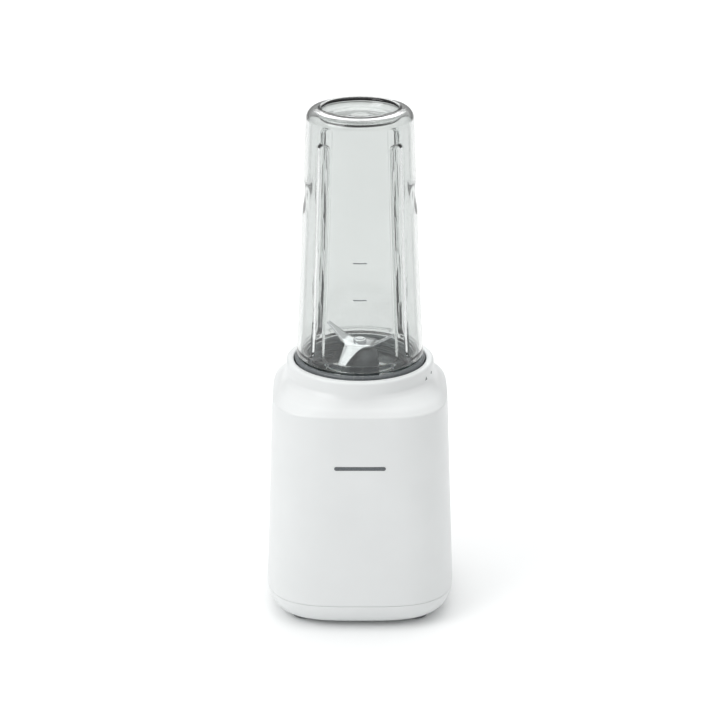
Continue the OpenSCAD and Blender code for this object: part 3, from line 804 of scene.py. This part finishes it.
# ---------------------------------------------------------------------------
# Cutter unit's hidden parts: a silicone ring that the bottle's mouth seals on,
# two oil-filled sintered bushes, a lip seal, and the coupler on the shaft.
# ---------------------------------------------------------------------------


def dress(material, *nodes):
    """Gives a material to CAD nodes that keep their own shape."""
    for node in nodes:
        for slot in bpy.data.objects[node].material_slots:
            slot.material = material


# Moulded silicone: pale, slightly milky, with a soft dry sheen.
silicone, _, shader = surface("milky silicone, moulded", ("#dfe2e2", "#d3d6d6"), 5, (0.38, 0.5), 2, 0.5, 0.006)
shader.inputs["Subsurface Weight"].default_value = 0.15
shader.inputs["Subsurface Scale"].default_value = 1 * MM
# Sintered bronze: brown-gold and finely pitted, the pits drawn at 0.25 mm.
bronze = surface("sintered bronze", ("#a97a44", "#8c6236"), 1.5, (0.35, 0.55), 0.6, 0.25, 0.02, 0.7, 1)[0]
# Turned steel: bright, with rings round it from the tool, drawn 0.2 mm apart.
turned_steel = surface("steel, turned", ("#c9cbcd", "#b5b8bb"), 4, (0.2, 0.36), 1, 0.2, 0.002, 0.5, 1,
                       (0.06, 0.06, 1))[0]
dress(silicone, "bottle_seal")
dress(bronze, "upper_bush", "lower_bush")
dress(black_rubber, "blade_shaft_seal", "driven_coupler", "well_seal", "mount_grommets")
dress(turned_steel, "blade_washer", "blade_shaft", "motor_shaft", "upper_bearing", "lower_bearing")

# ---------------------------------------------------------------------------
# Seat and lock: the grey moulded well under the collar, and a black nylon ring
# in it that the bottle's foot turns. A nylon coupler stands up in the middle.
# ---------------------------------------------------------------------------

# Glass-filled nylon: near black, a little clouded where fibres reach the skin,
# with a low sheen and a dry, fine grain.
dark_nylon = surface("black glass-filled nylon, moulded", ("#3e4143", "#33363a"), 3, (0.4, 0.55), 1,
                     0.35, 0.01)[0]
# Unfilled nylon: creamy and a little waxy, with a light mould grain.
natural_nylon, _, shader = surface("natural nylon, moulded", ("#e6e1d2", "#dcd6c5"), 8, (0.34, 0.46), 3,
                                   0.5, 0.005)
shader.inputs["Subsurface Weight"].default_value = 0.1
shader.inputs["Subsurface Scale"].default_value = 1 * MM
dress(grey_pp, "coupling_well")
dress(dark_nylon, "lock_ring", "switch_left", "switch_right")
dress(natural_nylon, "drive_coupler", "fan", "switch_rod_left", "switch_rod_right", "terminal_block")

# ---------------------------------------------------------------------------
# Motor: a universal motor hung from the well on rubber. Stamped sheets make its
# cores, enamelled wire its windings, and two cast brackets hold the bearings.
# ---------------------------------------------------------------------------


def stripes(tree, shader, period, light, dark, raised, direction="Z", waver=0.0):
    """Lays stripes of two hex tones across a material, with sizes in mm, and raises the light ones."""
    objects = put(tree, "ShaderNodeTexCoord").outputs["Object"]
    wave = put(tree, "ShaderNodeTexWave", {"bands_direction": direction}, Vector=objects, Distortion=waver,
               Scale=math.tau / (20 * period * MM), Detail_Scale=2.0)
    bands = put(tree, "ShaderNodeValToRGB", stops=[(0.1, linear(dark)), (0.5, linear(light))],
                i0=wave.outputs["Fac"])
    tree.links.new(bands.outputs["Color"], shader.inputs["Base Color"])
    bump = put(tree, "ShaderNodeBump", Height=wave.outputs["Fac"], Strength=0.6, Distance=raised * MM)
    tree.links.new(bump.outputs["Normal"], shader.inputs["Normal"])


# Stacked electrical sheet: 0.5 mm sheets seen edge on, drawn as 1 mm stripes.
lamination, tree, shader = surface("electrical sheet steel, stacked", None, 0, (0.35, 0.5), 1, 0, 0, metallic=1)
stripes(tree, shader, 1, "#9da0a3", "#6c6f73", 0.05)
# Enamelled copper wire: red-brown turns of 0.8 mm wire under clear varnish.
copper, tree, shader = surface("copper wire, enamelled", None, 0, (0.25, 0.4), 1, 0, 0, metallic=1)
shader.inputs["Coat Weight"].default_value = 0.6
shader.inputs["Coat Roughness"].default_value = 0.12
stripes(tree, shader, 0.8, "#b8622f", "#6d3015", 0.15, "DIAGONAL", 1.5)
# Commutator copper: bare and bright, in 24 bars with dark mica between them.
BARS = 24.0
bars, tree, shader = surface("copper bars and mica", None, 0, (0.2, 0.35), 1, 0.3, 0.003, metallic=1)
objects = put(tree, "ShaderNodeTexCoord").outputs["Object"]
around = put(tree, "ShaderNodeTexGradient", {"gradient_type": "RADIAL"}, Vector=objects).outputs["Fac"]
bar = put(tree, "ShaderNodeMath", {"operation": "MULTIPLY"}, i0=around, i1=BARS).outputs["Value"]
across_bar = put(tree, "ShaderNodeMath", {"operation": "FRACT"}, i0=bar).outputs["Value"]
bar_stops = [(0.04, linear("#2c2420")), (0.1, linear("#c9804f")), (0.94, linear("#bd7242"))]
bar_colour = put(tree, "ShaderNodeValToRGB", stops=bar_stops, i0=across_bar).outputs["Color"]
tree.links.new(bar_colour, shader.inputs["Base Color"])
# Die-cast aluminium: pale grey, rough from the die, with flow marks.
cast_aluminium = surface("aluminium, die-cast", ("#bcbfc1", "#a8abae"), 5, (0.42, 0.6), 2, 0.8, 0.03, 0.6, 1)[0]
# Carbon brush: dull black, pressed and dusty.
carbon = surface("carbon, pressed", ("#35373a", "#292b2d"), 1, (0.55, 0.7), 1, 0.25, 0.012)[0]
# Brass strip: rolled, so its fine lines run one way, and lightly tarnished.
brass = surface("brass strip, rolled", ("#cfa955", "#b8923f"), 3, (0.24, 0.4), 1, 0.2, 0.002, 0.5, 1,
                (1, 1, 0.08))[0]
dress(lamination, "armature_core", "stator_core")
dress(copper, "armature_winding", "field_coil_left", "field_coil_right")
dress(bars, "commutator")
dress(cast_aluminium, "upper_bracket", "lower_bracket")
dress(carbon, "brush_left", "brush_right")
dress(brass, "brush_holder_left", "brush_holder_right")

# ---------------------------------------------------------------------------
# Springs: round music wire wound cold. Two press the brushes on the commutator,
# and two return the push rods that the lock ring pushes down.
# ---------------------------------------------------------------------------

# Music wire: drawn, dark bright steel with lines too fine to see singly.
spring_wire = surface("music wire, drawn", ("#a4a7aa", "#8f9296"), 2, (0.25, 0.38), 0.6, 0.2, 0.002, 0.5, 1)[0]


def coil(name, inner, outer, start, length, turns):
    """A spring wound up the Z axis between two radii, from a height in mm, with its wire's ends filled in."""
    wire = outer - inner
    bpy.ops.object.select_all(action="DESELECT")
    bpy.ops.mesh.primitive_circle_add(vertices=12, radius=wire / 2 * MM, rotation=(math.radians(90), 0, 0),
                                      location=((inner + outer) / 2 * MM, 0, (start + wire / 2) * MM))
    piece = name_it(name)
    bpy.ops.object.mode_set(mode="OBJECT")
    apply(piece, "SCREW", angle=math.tau * turns, screw_offset=(length - wire) * MM, steps=24 * turns)
    bpy.ops.object.mode_set(mode="EDIT")
    bpy.ops.mesh.select_all(action="SELECT")
    bpy.ops.mesh.remove_doubles(threshold=0.000005)
    bpy.ops.mesh.fill_holes(sides=12)
    return close_up(piece)


BRUSH_SPRING_Z = 43
for side, sign in (("left", -1), ("right", 1)):
    spring = moved(coil(f"{side}_rod_coil", 2.35, 3.05, 108.1, 8.9, 6), sign * 36, 0)
    finish(spring, "base", "plain_steel", spring_wire, f"rod_spring_{side}")
    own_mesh(spring)
    spring = coil(f"{side}_brush_coil", 1.45, 2.25, 24, 9.5, 7)
    spring.data.transform(Matrix.Rotation(math.radians(90 * sign), 4, "Y"))
    finish(moved(spring, 0, 0, BRUSH_SPRING_Z), "base", "plain_steel", spring_wire, f"brush_spring_{side}")

# ---------------------------------------------------------------------------
# Electrics and screws: a paper laminate board, a film capacitor in a yellow
# case, and steel screws plated with zinc.
# ---------------------------------------------------------------------------

# Phenolic paper laminate: tan and softly mottled, with a resin gloss.
laminate = surface("phenolic paper laminate", ("#a9854f", "#96733f"), 4, (0.3, 0.42), 3, 0.5, 0.004)[0]
# Capacitor case: yellow moulded polyester with a light gloss.
yellow_case = surface("yellow polyester case", ("#dcb63c", "#d0a82f"), 5, (0.25, 0.36), 3, 0.5, 0.004)[0]
# Zinc plate: bluish bright grey, cloudy where the bath left it uneven.
zinc_plate = surface("steel, zinc plated", ("#c7ccd2", "#b3b6b6"), 2, (0.25, 0.42), 1, 0.4, 0.003, 0.5, 1)[0]
dress(laminate, "circuit_board")
dress(yellow_case, "suppressor_capacitor")
dress(zinc_plate, "base_screws", "well_screws", "motor_bolts", "mount_screws")
